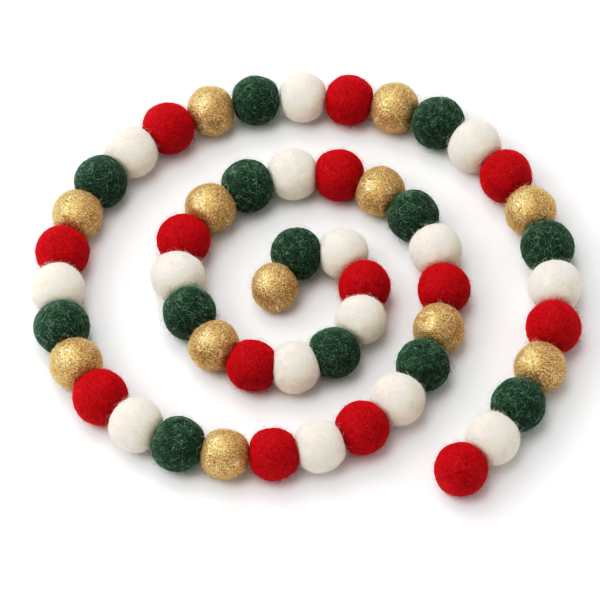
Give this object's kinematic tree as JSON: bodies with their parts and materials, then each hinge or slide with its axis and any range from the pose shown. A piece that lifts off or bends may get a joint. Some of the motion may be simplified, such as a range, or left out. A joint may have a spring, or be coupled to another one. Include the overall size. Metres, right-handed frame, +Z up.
{
  "type": "felt ball garland",
  "caption": "Garland of small felt balls in red, cream, green and gold, strung close together on one thread and laid in an open curl.",
  "frame": {"origin": "on the table, under the middle of the footprint of the curl", "axes": "+Z up from the table; +X to the right and +Y away from a viewer who sees the outer end at the near right"},
  "size_m": [0.2572, 0.23, 0.0247],
  "materials": {
    "red_felt": "matte wool felt, saturated red, with fine loose fibres",
    "white_felt": "matte wool felt, warm cream white, almost smooth",
    "green_felt": "matte wool felt, dark bottle green, with curly lighter fibres",
    "gold_felt": "glittering gold lurex fibres felted into a ball",
    "thread": "matte pale cotton thread"
  },
  "bodies": {
    "root": {"ball_01_red": "red_felt", "ball_02_white": "white_felt", "ball_03_green": "green_felt", "ball_04_gold": "gold_felt", "ball_05_red": "red_felt", "ball_06_white": "white_felt", "ball_07_green": "green_felt", "ball_08_gold": "gold_felt", "ball_09_red": "red_felt", "ball_10_white": "white_felt", "ball_11_green": "green_felt", "ball_12_gold": "gold_felt", "ball_13_red": "red_felt", "ball_14_white": "white_felt", "ball_15_green": "green_felt", "ball_16_gold": "gold_felt", "ball_17_red": "red_felt", "ball_18_white": "white_felt", "ball_19_green": "green_felt", "ball_20_gold": "gold_felt", "ball_21_red": "red_felt", "ball_22_white": "white_felt", "ball_23_green": "green_felt", "ball_24_gold": "gold_felt", "ball_25_red": "red_felt", "ball_26_white": "white_felt", "ball_27_green": "green_felt", "ball_28_gold": "gold_felt", "ball_29_red": "red_felt", "ball_30_white": "white_felt", "ball_31_red": "red_felt", "ball_32_white": "white_felt", "ball_33_green": "green_felt", "ball_34_gold": "gold_felt", "ball_35_red": "red_felt", "ball_36_white": "white_felt", "ball_37_green": "green_felt", "ball_38_gold": "gold_felt", "ball_39_red": "red_felt", "ball_40_white": "white_felt", "ball_41_green": "green_felt", "ball_42_gold": "gold_felt", "ball_43_red": "red_felt", "ball_44_white": "white_felt", "ball_45_green": "green_felt", "ball_46_gold": "gold_felt", "ball_47_red": "red_felt", "ball_48_white": "white_felt", "ball_49_green": "green_felt", "ball_50_white": "white_felt", "ball_51_red": "red_felt", "ball_52_white": "white_felt", "ball_53_green": "green_felt", "ball_54_gold": "gold_felt", "thread": "thread"}
  },
  "joints": []
}
